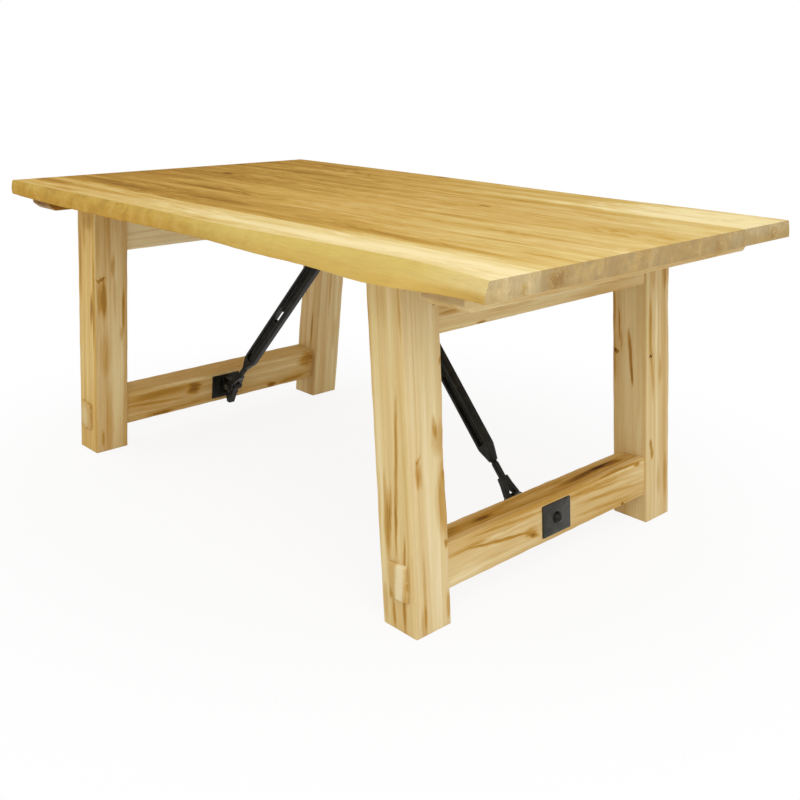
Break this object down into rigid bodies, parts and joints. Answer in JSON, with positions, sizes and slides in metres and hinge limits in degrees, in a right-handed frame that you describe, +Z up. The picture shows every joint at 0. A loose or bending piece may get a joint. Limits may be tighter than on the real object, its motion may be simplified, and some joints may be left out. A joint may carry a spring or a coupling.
{
  "type": "trestle dining table",
  "caption": "Rustic trestle dining table: live-edge plank top on splayed post-and-stretcher end frames, tied to the top by slanting black steel turnbuckle braces.",
  "frame": {"origin": "on the floor, under the middle of the table", "axes": "+X along the table to its right end as pictured, +Y across it away from the viewer, +Z up"},
  "size_m": [1.829, 1.1485, 0.787],
  "materials": {
    "top_wood": "clear satin lacquer over golden planks with cream sapwood and brown streaks",
    "frame_wood": "clear satin lacquer over pale solid timber with brown streaks",
    "black_steel": "satin black",
    "plain_steel": "black oxide"
  },
  "bodies": {
    "table": {"top_board_1": "top_wood", "top_board_2": "top_wood", "top_board_3": "top_wood", "top_board_4": "top_wood", "top_board_5": "top_wood", "top_board_6": "top_wood", "leg_right_near": "frame_wood", "leg_right_far": "frame_wood", "leg_left_near": "frame_wood", "leg_left_far": "frame_wood", "stretcher_right": "frame_wood", "stretcher_left": "frame_wood", "top_rail_right": "frame_wood", "top_rail_left": "frame_wood", "end_cleat_right": "frame_wood", "end_cleat_left": "frame_wood", "outer_plate_right": "black_steel", "domed_nut_right": "black_steel", "lower_bracket_right": "black_steel", "upper_bracket_right": "black_steel", "lower_jaw_right": "black_steel", "upper_jaw_right": "black_steel", "lower_clevis_pin_right": "black_steel", "upper_clevis_pin_right": "black_steel", "split_pins_right": "plain_steel", "bracket_screws_right": "plain_steel", "cleat_screws_right": "plain_steel", "rail_screws_right": "plain_steel", "outer_plate_left": "black_steel", "domed_nut_left": "black_steel", "lower_bracket_left": "black_steel", "upper_bracket_left": "black_steel", "lower_jaw_left": "black_steel", "upper_jaw_left": "black_steel", "lower_clevis_pin_left": "black_steel", "upper_clevis_pin_left": "black_steel", "split_pins_left": "plain_steel", "bracket_screws_left": "plain_steel", "cleat_screws_left": "plain_steel", "rail_screws_left": "plain_steel"},
    "right_turnbuckle": {"turnbuckle_body_right": "black_steel"},
    "left_turnbuckle": {"turnbuckle_body_left": "black_steel"}
  },
  "joints": [
    {"name": "right_turnbuckle_turn", "type": "hinge", "parent": "table", "child": "right_turnbuckle", "pos_m": [0.31968, 0, 0.41252], "axis": [-0.666, 0, 0.7459], "range_deg": [-360, 360]},
    {"name": "left_turnbuckle_turn", "type": "hinge", "parent": "table", "child": "left_turnbuckle", "pos_m": [-0.31968, 0, 0.41252], "axis": [0.666, 0, 0.7459], "range_deg": [-360, 360]}
  ]
}
